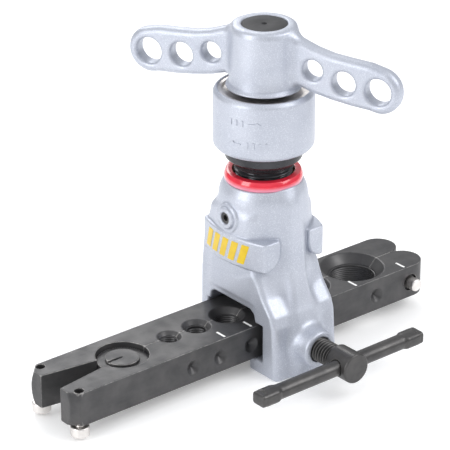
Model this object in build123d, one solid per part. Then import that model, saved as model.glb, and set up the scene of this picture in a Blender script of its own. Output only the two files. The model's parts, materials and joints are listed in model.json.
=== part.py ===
from build123d import *
import os

# Ratchet flaring tool for copper tube, 1/4" to 3/4".
# A die bar of two hinged jaws slides through a cast yoke along X. A clamp screw on the -Y side presses
# the jaws on the tube. A feed screw in the yoke's neck drives an eccentric 45 degree cone down on the
# tube's end, turned by a handle through a two-way clutch: pushed down it feeds, pulled up it returns.
# Origin: on the tool's axis at the underside of the die bar, where a tube enters the 1/2" bore.
# +Z is up, and +X points to the bar's free end.

# ---- die bar ----
bar_height = 14.6
bar_half_width = 15.4
bar_left = -108.0
lobe_x = 71.5
bar_bottom = 0.0
bar_top = bar_bottom + bar_height
bar_middle = (bar_bottom + bar_top) / 2
parting = 0.05
bore_x = [-49.0, -35.0, -19.0, 0.0, 22.5, 49.5]
bore_diameter = [6.35, 7.94, 9.52, 12.7, 15.88, 19.05]
sink_diameter = [10.0, 12.0, 15.0, 18.5, 22.0, 27.0]
dimple_radius = 3.3
dimple_depth = 1.9
clamp_z = bar_top - 7.7

# ---- die bar hinge and fork ----
hinge_x = -72.7
hinge_recess_radius = 10.7
hinge_recess_depth = 2.2
knuckle_radius = 10.4
pin_radius = 4.0
pin_head_radius = 6.9
clip_recess_radius = 7.2
clip_recess_depth = 1.8
clip_radius = 6.4
clip_low = 0.8
clip_high = 1.6
groove_depth = 0.6
fork_tip_gap = 6.3
fork_root_gap = 2.7
fork_root_x = -83.0
end_cone_radius = 12.5
stop_screw_x = -103.5
stop_screw_y = 12.6
stop_thread_radius = 2.2
stop_head_radius = 3.8
stop_head_height = 4.9
end_stop_x = 69.0
end_stop_head_radius = 2.7
end_stop_reach = 19.5
end_stop_shank_radius = 1.6
end_stop_pocket = 1.5

# ---- yoke ----
foot = bar_bottom - 6.4
yoke_half_length = 16.5
yoke_front = -28.0
yoke_rear = 21.6
slot_front = -18.9
slot_rear = 15.8
slot_floor = bar_bottom - 0.3
slot_step = bar_top + 1.0
slot_relief = bar_top + 5.4
toe_half_gap = 11.0
neck_top = bar_top + 56.0
ring_height = 4.0
ring_radius = 15.9
band_reach = 20.0
band_bow = 44.8
band_low = bar_top + 24.3
band_high = bar_top + 37.0
band_rear = 18.5
band_front = -19.8
band_gap = 4.0
yoke_bore_radius = 13.2
nut_radius = 14.0
nut_bottom = bar_top + 41.0
nut_top = bar_top + 55.8
ring_inner_radius = 12.6
rib_half_width = 3.4
set_screw_z = bar_top + 43.6
set_screw_radius = 2.4
set_boss_radius = 4.3
set_boss_shoulder_radius = 5.6
set_boss_shoulder_reach = 19.1
set_boss_reach = 20.4
clamp_boss_y = -36.4
clamp_boss_root_y = -24.0
clamp_boss_radius = 7.5
clamp_boss_root_radius = 10.5

# ---- feed screw, cone and thrust parts ----
feed_radius = 12.0
feed_bottom = bar_top + 16.0
collar_bottom = bar_top + 62.9
collar_radius = 15.7
collar_taper = 3.4
collar_top = bar_top + 75.0
cone_offset = 1.2
cone_tip = bar_top + 0.5
cone_radius = 11.0
cone_top = bar_top + 15.0
cone_tip_round = 0.8
cone_clip_radius = 5.9
spindle_radius = 4.5
spindle_top = bar_top + 34.2
bush_bottom = feed_bottom + 1.0
bush_top = bar_top + 31.0
bush_radius = 6.5
ball_radius = 3.0
ball_z = bar_top + 37.5
ball_clearance = 0.3
spring_wire_radius = 0.6
spring_coil_radius = 5.2
spring_turns = 5
spring_bore_radius = 7.0
spring_floor = bar_top + 52.0
seat_bottom = bar_top + 66.0
seat_top = bar_top + 68.0

# ---- ratchet ----
barrel_radius = 20.4
barrel_bottom = bar_top + 71.0
barrel_top = bar_top + 95.4
barrel_bore = 18.2
barrel_inner_radius = 9.6
tooth_count = 12
tooth_height = 1.5
tooth_width = 2.0
tooth_inner = 10.5
tooth_length = 5.5
lower_ring_top = bar_top + 78.5
upper_ring_bottom = bar_top + 90.5
upper_ring_top = bar_top + 92.4
cover_top = bar_top + 93.9
circlip_thickness = 1.0
circlip_inner_radius = 16.9
stem_radius = 6.6
flange_bottom = bar_top + 82.1
flange_top = bar_top + 86.9
flange_radius = 16.5
shaft_radius = 9.15
shaft_top = bar_top + 121.9

# ---- handle ----
hub_bottom = bar_top + 96.1
hub_top = bar_top + 122.3
hub_radius = 13.7
hub_foot_radius = 15.5
arm_angle = -65.8
arm_thickness = 6.5
arm_tip_radius = 9.4
arm_holes = [(22.0, 106.9, 4.5), (35.3, 103.7, 5.2), (49.8, 102.7, 5.7)]

# ---- clamp screw ----
thread_radius = 5.0
tip_y = -18.6
screw_head_radius = 6.3
screw_head_back = -46.0
screw_head_front = -57.7
tommy_y = -51.9
tommy_radius = 3.2
tommy_centre = -3.7
tommy_half_length = 42.6
tommy_flat_length = 9.0


def turned(*outline):
    """Solid of revolution about Z from a closed outline of (radius, height) points."""
    wire = Polyline(*[(r, 0, z) for r, z in outline], close=True)
    return revolve(make_face(wire), Axis.Z)


def rod(radius, low, high, x=0.0, y=0.0):
    """Vertical cylinder between two heights."""
    return Pos(x, y, (low + high) / 2) * Cylinder(radius, high - low)


def rod_y(radius, back, front, x, z):
    """Cylinder along Y between two Y values."""
    return Pos(x, (back + front) / 2, z) * Rot(90, 0, 0) * Cylinder(radius, abs(front - back))


def rod_x(radius, left, right, y, z):
    """Cylinder along X between two X values."""
    return Pos((left + right) / 2, y, z) * Rot(0, 90, 0) * Cylinder(radius, right - left)


def slab(x0, x1, y0, y1, z0, z1):
    """Box between two corners."""
    return Pos((x0 + x1) / 2, (y0 + y1) / 2, (z0 + z1) / 2) * Box(x1 - x0, y1 - y0, z1 - z0)


def hex_prism(across_flats, depth):
    """Hexagon prism along Z, centred."""
    return extrude(RegularPolygon(across_flats / 2, 6, major_radius=False), depth / 2, both=True)


def plan_cut(points, low, high):
    """Vertical prism over a closed outline of (x, y) points."""
    face = make_face(Polyline(*[(x, y, low) for x, y in points], close=True))
    return extrude(face, amount=high - low, dir=(0, 0, 1))


# ---------------------------------------------------------------- yoke

def yoke_skirt():
    """Lower casting: a rounded box that narrows to the neck."""
    sections = [
        (foot, yoke_front, yoke_rear, yoke_half_length, 4.0),
        (bar_top + 6.0, yoke_front + 3.0, yoke_rear - 0.2, yoke_half_length, 4.0),
        (bar_top + 13.0, -19.8, yoke_rear - 0.6, yoke_half_length, 4.0),
        (bar_top + 20.0, -17.0, yoke_rear - 1.0, yoke_half_length - 0.6, 4.0),
        (bar_top + 25.0, -15.0, yoke_rear - 1.5, yoke_half_length - 0.7, 5.0),
        (bar_top + 40.0, -15.0, 18.0, 15.0, 12.0),
    ]
    faces = []
    for z, front, rear, half, corner in sections:
        middle = (front + rear) / 2
        faces.append(Pos(0, middle, z) * RectangleRounded(2 * half, rear - front, corner))
    return loft(faces, ruled=True)


def yoke_neck():
    """Turned neck, trimmed to the width of the skirt below the bands."""
    neck = turned(
        (0, bar_top + 12), (19.6, bar_top + 12), (19.5, bar_top + 36), (19.0, bar_top + 42),
        (18.4, bar_top + 47), (18.1, bar_top + 50.5), (17.3, bar_top + 53.8),
        (16.0, neck_top), (0, neck_top),
    )
    half = yoke_half_length - 0.7
    for side in (-1, 1):
        near, far = sorted((side * half, side * 25))
        neck -= slab(near, far, -25, 25, bar_top + 10, band_low)
    return neck


def yoke_band():
    """Raised pads with bowed faces round the two ends of the casting."""
    band = slab(-band_reach, band_reach, band_front, band_rear, band_low, band_high)
    for side in (-1, 1):
        band &= rod(band_bow, band_low, band_high, side * (band_bow - band_reach))
    band = chamfer(band.edges().filter_by(Axis.Z), 1.2)
    return band - slab(-band_gap, band_gap, band_front - 1, 0, band_low, band_high)


def yoke_rib():
    """Spine down the front of the casting to the clamp boss."""
    spine = [
        (-10, bar_top + 50), (-17.6, bar_top + 50), (-19.6, bar_top + 38), (-21.5, bar_top + 25),
        (-25.2, bar_top + 13), (-28.8, bar_top + 1), (-28.8, foot + 6),
        (-20, foot + 6), (-10, bar_top + 14),
    ]
    face = make_face(Polyline(*[(0, y, z) for y, z in spine], close=True))
    return extrude(face, amount=rib_half_width, dir=(1, 0, 0), both=True)


def yoke_slot():
    """Passage for the die bar, open below between the two toes."""
    outline = [
        (-toe_half_gap, foot - 1), (-toe_half_gap, slot_floor),
        (slot_front, slot_floor), (slot_front, slot_step),
        (-14.0, slot_step), (-11.5, slot_relief), (11.5, slot_relief), (14.0, slot_step),
        (slot_rear, slot_step), (slot_rear, slot_floor),
        (toe_half_gap, slot_floor), (toe_half_gap, foot - 1),
    ]
    face = make_face(Polyline(*[(0, y, z) for y, z in outline], close=True))
    return extrude(face, amount=20, dir=(1, 0, 0), both=True)


def make_yoke():
    body = yoke_skirt() + yoke_neck() + yoke_band() + yoke_rib()
    boss_length = clamp_boss_root_y - clamp_boss_y
    boss = Cone(clamp_boss_root_radius, clamp_boss_radius, boss_length)
    body += Pos(0, clamp_boss_y + boss_length / 2, clamp_z) * Rot(90, 0, 0) * boss
    body += rod_x(set_boss_shoulder_radius, -set_boss_shoulder_reach, -14.5, 0, set_screw_z)
    body += rod_x(set_boss_radius, -set_boss_reach, -14.5, 0, set_screw_z)
    body -= yoke_slot()
    body -= rod(yoke_bore_radius, bar_top, nut_bottom)
    body -= rod(nut_radius, nut_bottom, neck_top + 1)
    body -= rod_y(thread_radius + 0.05, -40, slot_front + 1, 0, clamp_z)
    body -= rod_x(set_screw_radius, -set_boss_reach - 1, -12, 0, set_screw_z)
    return body


def make_feed_nut():
    return turned(
        (feed_radius + 0.05, nut_bottom), (nut_radius, nut_bottom),
        (nut_radius, nut_top), (feed_radius + 0.05, nut_top),
    )


def make_top_ring():
    low = neck_top
    high = neck_top + ring_height
    return turned(
        (ring_inner_radius, low), (ring_radius - 0.4, low),
        (ring_radius, low + 0.4), (ring_radius, low + 2.0),
        (ring_radius - 1.4, high), (ring_inner_radius + 0.4, high), (ring_inner_radius, high - 0.4),
    )


def make_set_screw():
    screw = rod_x(set_screw_radius, -set_boss_reach + 0.6, -nut_radius, 0, set_screw_z)
    socket = Pos(-set_boss_reach + 1.8, 0, set_screw_z) * Rot(0, 90, 0) * hex_prism(2.5, 3.4)
    return screw - socket


# ---------------------------------------------------------------- die bar

def bar_blank():
    """Both jaws as one bar: lobed free end, cone turned on the fork end."""
    blank = slab(bar_left, lobe_x, -bar_half_width, bar_half_width, bar_bottom, bar_top)
    lobe_radius = bar_half_width / 2
    for side in (-1, 1):
        blank += rod(lobe_radius, bar_bottom, bar_top, lobe_x, side * lobe_radius)
    reach = 20
    turned_end = Pos(bar_left + reach / 2, 0, bar_middle) * Rot(0, 90, 0)
    turned_end *= Cone(end_cone_radius, end_cone_radius + reach, reach)
    keep = turned_end + slab(bar_left + reach, 90, -20, 20, bar_bottom - 2, bar_top + 2)
    return blank & keep


def bar_cuts():
    """Everything removed from the blank that both jaws share."""
    cuts = [plan_cut([
        (bar_left - 1, -fork_tip_gap), (fork_root_x, -fork_root_gap),
        (fork_root_x, fork_root_gap), (bar_left - 1, fork_tip_gap),
    ], bar_bottom - 1, bar_top + 1)]
    cuts.append(rod(hinge_recess_radius, bar_top - hinge_recess_depth, bar_top + 1, hinge_x))
    cuts.append(rod(clip_recess_radius, bar_bottom - 1, bar_bottom + clip_recess_depth, hinge_x))
    for x, bore, sink in zip(bore_x, bore_diameter, sink_diameter):
        cuts.append(rod(bore / 2, bar_bottom - 1, bar_top + 1, x))
        depth = (sink - bore) / 2
        cone = Cone(bore / 2, sink / 2, depth)
        cuts.append(Pos(x, 0, bar_top - depth / 2) * cone)
        nose = Pos(x, -bar_half_width + dimple_depth / 2, clamp_z) * Rot(90, 0, 0)
        cuts.append(nose * Cone(0.4, dimple_radius, dimple_depth))
    for side in (-1, 1):
        cuts.append(rod(stop_thread_radius, bar_bottom - 1, bar_top + 1, stop_screw_x, side * stop_screw_y))
    face = -bar_half_width
    cuts.append(rod_y(end_stop_head_radius + 0.9, face - 1, face + end_stop_pocket, end_stop_x, clamp_z))
    cuts.append(rod_y(end_stop_shank_radius, face - 1, -6.0, end_stop_x, clamp_z))
    return cuts


def make_jaws():
    """Rear jaw (+Y) and front jaw (-Y), with lapped round knuckles at the hinge."""
    shared = bar_blank()
    for cut in bar_cuts():
        shared -= cut
    lap = 0.05
    pin_hole = rod(pin_radius + 0.05, bar_bottom - 1, bar_top + 1, hinge_x)
    lower_pocket = rod(hinge_recess_radius, bar_bottom - 1, bar_middle + lap, hinge_x)
    upper_pocket = rod(hinge_recess_radius, bar_middle - lap, bar_top + 1, hinge_x)
    lower_knuckle = rod(knuckle_radius, bar_bottom, bar_middle - lap, hinge_x)
    lower_knuckle -= rod(clip_recess_radius, bar_bottom - 1, bar_bottom + clip_recess_depth, hinge_x)
    upper_knuckle = rod(knuckle_radius, bar_middle + lap, bar_top - hinge_recess_depth, hinge_x)
    rear_half = slab(-120, 90, parting, 30, bar_bottom - 5, bar_top + 5)
    front_half = slab(-120, 90, -30, -parting, bar_bottom - 5, bar_top + 5)
    rear = ((shared & rear_half) - upper_pocket) + lower_knuckle - pin_hole
    front = ((shared & front_half) - lower_pocket) + upper_knuckle - pin_hole
    return rear, front


def make_hinge_pin():
    head_low = bar_top - hinge_recess_depth + 0.05
    pin = rod(pin_radius, bar_bottom + 0.4, head_low + 0.5, hinge_x)
    pin += rod(pin_head_radius, head_low, head_low + 1.2, hinge_x)
    pin -= slab(hinge_x - 8, hinge_x + 8, -0.7, 0.7, head_low + 0.5, head_low + 2)
    groove = rod(pin_radius + 1, bar_bottom + clip_low, bar_bottom + clip_high, hinge_x)
    groove -= rod(pin_radius - groove_depth, bar_bottom, bar_bottom + 2, hinge_x)
    return pin - groove


def make_hinge_clip():
    clip = rod(clip_radius, bar_bottom + clip_low, bar_bottom + clip_high, hinge_x)
    clip -= rod(pin_radius - groove_depth, bar_bottom, bar_bottom + 2, hinge_x)
    return clip - slab(hinge_x, hinge_x + 8, -2.2, 2.2, bar_bottom, bar_bottom + 2)


def make_stop_screw(side):
    """Socket screw from below near a fork tip, its head under the bar."""
    y = side * stop_screw_y
    screw = rod(stop_head_radius, bar_bottom - stop_head_height, bar_bottom, stop_screw_x, y)
    screw = chamfer(screw.edges().filter_by(GeomType.CIRCLE), 0.4)
    screw += rod(stop_thread_radius, bar_bottom, bar_top - 2.5, stop_screw_x, y)
    socket = Pos(stop_screw_x, y, bar_bottom - stop_head_height + 1.2) * hex_prism(3.4, 3.2)
    return screw - socket


def make_end_stop_screw():
    """Socket screw in the front face that keeps the bar from leaving the yoke."""
    head_back = -bar_half_width + end_stop_pocket
    screw = rod_y(end_stop_head_radius, head_back, -end_stop_reach, end_stop_x, clamp_z)
    screw += rod_y(end_stop_shank_radius, head_back, -6.4, end_stop_x, clamp_z)
    socket = Pos(end_stop_x, -end_stop_reach, clamp_z) * Rot(90, 0, 0) * hex_prism(2.5, 3.4)
    return screw - socket


# ---------------------------------------------------------------- feed screw and cone

def make_feed_screw():
    screw = turned(
        (0, feed_bottom), (feed_radius - 0.8, feed_bottom), (feed_radius, feed_bottom + 0.8),
        (feed_radius, collar_bottom), (collar_radius, collar_bottom + collar_taper),
        (collar_radius, collar_top), (0, collar_top),
    )
    screw -= rod(spring_bore_radius, spring_floor, collar_top + 1)
    screw -= rod(bush_radius, feed_bottom - 1, bar_top + 35.0, cone_offset)
    screw -= rod(ball_radius + 0.2, bar_top + 34.0, ball_z + ball_radius + ball_clearance)
    return screw


def make_cone_bush():
    bush = rod(bush_radius, bush_bottom, bush_top, cone_offset)
    return bush - rod(spindle_radius + 0.05, bush_bottom - 1, bush_top + 1, cone_offset)


def make_flare_cone():
    flat = cone_tip_round / 2
    nose = cone_tip + 0.25
    cone = turned(
        (0, cone_tip), (flat, cone_tip), (cone_tip_round, nose),
        (cone_radius, nose + cone_radius - cone_tip_round), (cone_radius, cone_top),
        (spindle_radius, cone_top), (spindle_radius, spindle_top), (0, spindle_top),
    )
    groove = rod(cone_clip_radius, bush_top + 0.3, bush_top + 1.3)
    groove -= rod(spindle_radius - groove_depth, bush_top, bush_top + 2)
    return Pos(cone_offset, 0, 0) * (cone - groove)


def make_cone_circlip():
    clip = rod(cone_clip_radius, bush_top + 0.3, bush_top + 1.3)
    clip -= rod(spindle_radius - groove_depth, bush_top, bush_top + 2)
    clip -= slab(0, 8, -2.0, 2.0, bush_top, bush_top + 2)
    return Pos(cone_offset, 0, 0) * clip


def make_thrust_ball():
    return Pos(0, 0, ball_z) * Sphere(ball_radius)


# ---------------------------------------------------------------- ratchet

def face_teeth(root, direction, phase):
    """Ring of saw teeth standing on a flat face at height root."""
    teeth = []
    top = root + direction * tooth_height
    half = tooth_width / 2
    profile = [(-half, root), (half, root), (half, top), (half - 0.6, top)]
    for index in range(tooth_count):
        face = make_face(Polyline(*[(tooth_inner, y, z) for y, z in profile], close=True))
        tooth = extrude(face, amount=tooth_length, dir=(1, 0, 0))
        angle = (index + phase) * 360 / tooth_count
        teeth.append(Rot(0, 0, angle) * tooth)
    return teeth


def make_barrel():
    barrel = turned(
        (collar_radius, barrel_bottom), (barrel_radius - 1.1, barrel_bottom),
        (barrel_radius - 0.4, barrel_bottom + 0.4),
        (barrel_radius, barrel_bottom + 1.2), (barrel_radius, barrel_top - 1.4),
        (barrel_radius - 1.4, barrel_top), (barrel_bore + 0.3, barrel_top), (barrel_bore + 0.3, cover_top),
        (barrel_bore, cover_top), (barrel_bore, collar_top), (collar_radius, collar_top),
    )
    groove = rod(barrel_bore + 0.9, cover_top, cover_top + circlip_thickness)
    return barrel - groove


def make_lower_ring():
    ring = turned(
        (barrel_inner_radius, collar_top), (barrel_bore, collar_top),
        (barrel_bore, lower_ring_top), (barrel_inner_radius, lower_ring_top),
    )
    for tooth in face_teeth(lower_ring_top, 1, 0.5):
        ring += tooth
    return ring


def make_upper_ring():
    ring = turned(
        (barrel_inner_radius, upper_ring_bottom), (barrel_bore, upper_ring_bottom),
        (barrel_bore, upper_ring_top), (barrel_inner_radius, upper_ring_top),
    )
    for tooth in face_teeth(upper_ring_bottom, -1, 0.5):
        ring += tooth
    return ring


def make_barrel_cover():
    return turned(
        (barrel_inner_radius, upper_ring_top), (barrel_bore, upper_ring_top),
        (barrel_bore, cover_top), (barrel_inner_radius, cover_top),
    )


def make_barrel_circlip():
    ring = rod(barrel_bore + 0.8, cover_top, cover_top + circlip_thickness)
    ring -= rod(circlip_inner_radius, cover_top - 1, cover_top + 2)
    return ring - slab(0, 30, -2.5, 2.5, cover_top - 1, cover_top + 2)


def make_drive_shaft():
    shaft = turned(
        (0, seat_top + 0.1), (stem_radius, seat_top + 0.1), (stem_radius, flange_bottom),
        (flange_radius, flange_bottom),
        (flange_radius, flange_top), (shaft_radius, flange_top), (shaft_radius, shaft_top - 0.4),
        (shaft_radius - 0.4, shaft_top), (1.05, shaft_top), (0, shaft_top - 1.2),
    )
    for tooth in face_teeth(flange_bottom, -1, 0) + face_teeth(flange_top, 1, 0):
        shaft += tooth
    return shaft


def make_spring_seat():
    return rod(stem_radius, seat_bottom, seat_top)


def make_shift_spring():
    low = spring_floor + spring_wire_radius + 0.1
    high = seat_bottom - spring_wire_radius - 0.1
    height = high - low
    coil = Helix(pitch=height / spring_turns, height=height, radius=spring_coil_radius, center=(0, 0, low))
    section = Plane(origin=coil @ 0, z_dir=coil % 0) * Circle(spring_wire_radius)
    return sweep(section, path=coil)


# ---------------------------------------------------------------- handle

def arm_outline():
    """One arm as a face in the XZ plane, reaching along +X, heights above the bar's top."""
    tip_x, tip_z, _ = arm_holes[-1]
    tip_top = (tip_x, tip_z + arm_tip_radius)
    tip_end = (tip_x + arm_tip_radius, tip_z)
    tip_low = (tip_x, tip_z - arm_tip_radius)
    root_x = 11.5
    outline = Curve() + [
        ThreePointArc((root_x, 121.6), (29, 114.6), tip_top),
        ThreePointArc(tip_top, tip_end, tip_low),
        ThreePointArc(tip_low, (32, 95.2), (root_x, 100.6)),
        Line((root_x, 100.6), (root_x, 121.6)),
    ]
    return make_face(Plane.XZ * outline)


def make_arm():
    blade = extrude(arm_outline(), amount=arm_thickness / 2, both=True)
    faces = blade.faces().sort_by(Axis.Y)
    rims = [edge for face in (faces[0], faces[-1]) for edge in face.edges() if edge.center().X > 12]
    blade = fillet(rims, 2.2)
    for x, z, radius in arm_holes:
        blade -= rod_y(radius - 0.6, -5, 5, x, z)
    return Pos(0, 0, bar_top) * blade


def make_handle():
    hub = turned(
        (shaft_radius, hub_bottom), (hub_foot_radius - 0.4, hub_bottom),
        (hub_foot_radius, hub_bottom + 0.5),
        (hub_foot_radius - 0.6, hub_bottom + 1.3), (hub_radius + 0.3, hub_bottom + 2.6),
        (hub_radius, hub_bottom + 5), (hub_radius - 0.2, hub_top - 2.0), (hub_radius - 0.9, hub_top - 0.6),
        (hub_radius - 2.2, hub_top), (shaft_radius, hub_top),
    )
    arm = make_arm()
    for angle in (arm_angle, arm_angle + 180):
        hub += Rot(0, 0, angle) * arm
    return hub - rod(shaft_radius, hub_bottom - 1, hub_top + 1)


# ---------------------------------------------------------------- clamp screw

def make_clamp_tip():
    """Swivel nose that seats in a dimple of the front jaw."""
    nose = Rot(-90, 0, 0) * turned(
        (0, -7.5), (1.6, -7.5), (1.6, -3.6), (3.6, -3.6), (3.6, -2.2), (1.1, 0), (0, 0),
    )
    return Pos(0, tip_y, clamp_z) * nose


def make_clamp_screw():
    thread_end = tip_y - 3.9
    screw = rod_y(thread_radius, screw_head_back, thread_end, 0, clamp_z)
    screw = chamfer(screw.edges().filter_by(GeomType.CIRCLE), 0.6)
    head = rod_y(screw_head_radius, screw_head_back, screw_head_front, 0, clamp_z)
    screw += chamfer(head.edges().filter_by(GeomType.CIRCLE), 0.5)
    screw -= rod_y(1.9, thread_end + 1, thread_end - 4.2, 0, clamp_z)
    return screw - rod_x(tommy_radius + 0.1, -10, 10, tommy_y, clamp_z)


def make_tommy_bar():
    left = tommy_centre - tommy_half_length
    right = tommy_centre + tommy_half_length
    bar = rod_x(tommy_radius, left + 2, right - 2, tommy_y, clamp_z)
    for end, inner in ((left, left + tommy_flat_length), (right, right - tommy_flat_length)):
        low, high = min(end, inner), max(end, inner)
        swage = slab(low, high, tommy_y - 3.7, tommy_y + 3.7, clamp_z - 2.7, clamp_z + 2.7)
        bar += chamfer(swage.edges(), 0.7)
    return bar


# ---------------------------------------------------------------- write the parts

rear_jaw, front_jaw = make_jaws()
parts = {
    "yoke": make_yoke(),
    "feed_nut": make_feed_nut(),
    "top_ring": make_top_ring(),
    "nut_set_screw": make_set_screw(),
    "thrust_ball": make_thrust_ball(),
    "feed_screw": make_feed_screw(),
    "cone_bush": make_cone_bush(),
    "flare_cone": make_flare_cone(),
    "cone_circlip": make_cone_circlip(),
    "ratchet_barrel": make_barrel(),
    "lower_ratchet_ring": make_lower_ring(),
    "upper_ratchet_ring": make_upper_ring(),
    "barrel_cover": make_barrel_cover(),
    "barrel_circlip": make_barrel_circlip(),
    "spring_seat": make_spring_seat(),
    "shift_spring": make_shift_spring(),
    "drive_shaft": make_drive_shaft(),
    "handle": make_handle(),
    "rear_jaw": rear_jaw,
    "front_jaw": front_jaw,
    "hinge_pin": make_hinge_pin(),
    "hinge_clip": make_hinge_clip(),
    "rear_stop_screw": make_stop_screw(1),
    "front_stop_screw": make_stop_screw(-1),
    "end_stop_screw": make_end_stop_screw(),
    "clamp_tip": make_clamp_tip(),
    "clamp_screw": make_clamp_screw(),
    "tommy_bar": make_tommy_bar(),
}

os.makedirs("parts", exist_ok=True)
for name, solid in parts.items():
    export_step(solid, "parts/" + name + ".step")
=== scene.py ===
import json
import math
import bpy
import bmesh
import numpy as np
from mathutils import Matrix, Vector


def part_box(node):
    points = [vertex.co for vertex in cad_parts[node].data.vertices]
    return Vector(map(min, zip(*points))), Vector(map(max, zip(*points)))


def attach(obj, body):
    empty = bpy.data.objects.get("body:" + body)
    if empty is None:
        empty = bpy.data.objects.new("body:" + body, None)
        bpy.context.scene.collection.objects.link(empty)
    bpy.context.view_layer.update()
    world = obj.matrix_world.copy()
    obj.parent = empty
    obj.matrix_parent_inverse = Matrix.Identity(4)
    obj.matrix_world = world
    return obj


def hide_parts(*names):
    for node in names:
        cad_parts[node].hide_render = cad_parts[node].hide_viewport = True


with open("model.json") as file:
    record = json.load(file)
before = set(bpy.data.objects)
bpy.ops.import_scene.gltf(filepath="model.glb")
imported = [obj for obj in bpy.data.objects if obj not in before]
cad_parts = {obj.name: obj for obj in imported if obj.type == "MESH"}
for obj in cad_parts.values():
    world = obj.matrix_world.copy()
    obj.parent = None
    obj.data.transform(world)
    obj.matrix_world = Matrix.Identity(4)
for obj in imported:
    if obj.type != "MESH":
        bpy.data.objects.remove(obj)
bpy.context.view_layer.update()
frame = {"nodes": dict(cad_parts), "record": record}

# Looks of the flaring tool. Shapes are worked out in millimetres in the CAD's frame and written in metres.
# The castings and machined parts are smooth distance fields, meshed with rounded edges; turned parts are
# lathed from a profile. In the shape functions, h is the height over the top of the die bar.
MM = 0.001


def corners(node):
    """Lowest and highest corner of a CAD node, in millimetres."""
    low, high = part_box(node)
    return [v / MM for v in low], [v / MM for v in high]


bar_low, bar_high = corners("front_jaw")
yoke_low, yoke_high = corners("yoke")
handle_low, handle_high = corners("handle")
barrel_low, barrel_high = corners("ratchet_barrel")
ring_low, ring_high = corners("top_ring")
screw_low, _ = corners("feed_screw")
shaft_low, shaft_high = corners("drive_shaft")
clamp_low, clamp_high = corners("clamp_screw")
tommy_low, tommy_high = corners("tommy_bar")
pin_low, pin_high = corners("hinge_pin")
rear_screw_low, rear_screw_high = corners("rear_stop_screw")
end_screw_low, end_screw_high = corners("end_stop_screw")

# ---- driving dimensions, mm ----
TOP = bar_high[2]
BAR_HALF = -bar_low[1]
BAR_LEFT = bar_low[0]
LOBE = BAR_HALF / 2
LOBE_X = bar_high[0] - LOBE
MIDDLE = TOP / 2
BORES = [(-49.0, 6.35, 10.0), (-35.0, 7.94, 12.0), (-19.0, 9.52, 15.0),
         (0.0, 12.7, 18.5), (22.5, 15.88, 22.0), (49.5, 19.05, 27.0)]
CLAMP_Z = (clamp_low[2] + clamp_high[2]) / 2
HINGE_X = (pin_low[0] + pin_high[0]) / 2
RECESS = 10.7
RECESS_DEPTH = 2.2
KNUCKLE = 10.4
LAP = 0.05
PIN = 4.0
PIN_HEAD = 6.9
CLIP_RECESS = 7.2
CLIP_RECESS_DEPTH = 1.8
TURNED_END = 12.8
DIMPLE = 3.4
END_POCKET = 1.5
SCREW_END = 10.0
HEAD_GAP = 0.7
MARK_Y = -11.8
FOOT = yoke_low[2]
NECK_TOP = yoke_high[2]
YOKE_FRONT = -28.0
YOKE_REAR = yoke_high[1]
BOSS_FACE = yoke_low[1]
YOKE_HALF = 16.5
NECK_HALF = 15.8
BAND_REACH = yoke_high[0] - 0.15
BAND_BOW = 44.8
BAND_LOW = TOP + 24.3
BAND_HIGH = TOP + 37.0
SET_SCREW_Z = TOP + 43.6
SET_SCREW = 2.4
BARREL = barrel_high[0]
ARM_ANGLE = math.radians(-65.8)
ARM_HOLES = [(22.0, 106.9, 4.5), (35.3, 103.7, 5.2), (49.8, 102.7, 5.7)]
ARM_THICK = 6.5
ARM_TIP = 9.4
SHAFT = 9.15
STEM = 6.6
HUB_LOW = 96.1
FEED = 12.0
COLLAR_RADIUS = 15.7
COLLAR_LOW = TOP + 62.9
COLLAR_TOP = TOP + 75.0
SPRING_BORE = 7.0
SPRING_FLOOR = TOP + 52.0
BARREL_BORE = 18.2
COVER = TOP + 93.9
RING_INNER = 12.6
THREAD = 5.0
CLAMP_HEAD = 6.3
CLAMP_HEAD_BACK = -46.0
TOMMY = 3.2
TOMMY_Y = (tommy_low[1] + tommy_high[1]) / 2
CONE_SLOPE = math.sqrt(2)


# ---------------------------------------------------------------- distance fields

def join(a, b, k):
    """Union of two fields with a fillet of size k."""
    h = np.clip(0.5 + 0.5 * (b - a) / k, 0, 1)
    return b * (1 - h) + a * h - k * h * (1 - h)


def common(a, b, k):
    """Intersection of two fields with a rounded edge of size k."""
    return -join(-a, -b, k)


def cut(a, b, k):
    """Field a with b removed, its rim rounded by k."""
    return -join(-a, b, k)


def plan_box(x, y, half_x, half_y, r):
    """Rounded rectangle in a plane."""
    qx = np.abs(x) - half_x + r
    qy = np.abs(y) - half_y + r
    outside = np.hypot(np.maximum(qx, 0), np.maximum(qy, 0))
    return np.minimum(np.maximum(qx, qy), 0) + outside - r


def polygon(x, y, points):
    """Distance to a closed outline in a plane, negative inside."""
    nearest = np.full(np.broadcast(x, y).shape, 1e9)
    inside = np.zeros(nearest.shape, bool)
    for (ax, ay), (bx, by) in zip(points, points[1:] + points[:1]):
        ex, ey = bx - ax, by - ay
        px, py = x - ax, y - ay
        t = np.clip((px * ex + py * ey) / (ex * ex + ey * ey), 0, 1)
        nearest = np.minimum(nearest, np.hypot(px - ex * t, py - ey * t))
        if ay != by:
            crosses = ((ay > y) != (by > y)) & (x < ex * (y - ay) / ey + ax)
            inside ^= crosses
    return np.where(inside, -nearest, nearest)


def curve(at, xs, ys, blur=4.0):
    """Smoothed line through (xs, ys), read at the given places."""
    step = 0.25
    dense = np.arange(xs[0] - 2 * blur, xs[-1] + 2 * blur, step)
    table = np.interp(dense, xs, ys)
    weights = np.hanning(int(blur / step) + 3)
    margin = len(weights)
    padded = np.pad(table, margin, "edge")
    smooth = np.convolve(padded, weights / weights.sum(), "same")[margin:-margin]
    return np.interp(at, dense, smooth)


def arc(centre, radius, start, end, steps):
    """Points on an arc in a plane, angles in degrees."""
    angles = np.radians(np.linspace(start, end, steps))
    return [(centre[0] + radius * math.cos(a), centre[1] + radius * math.sin(a)) for a in angles]


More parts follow.
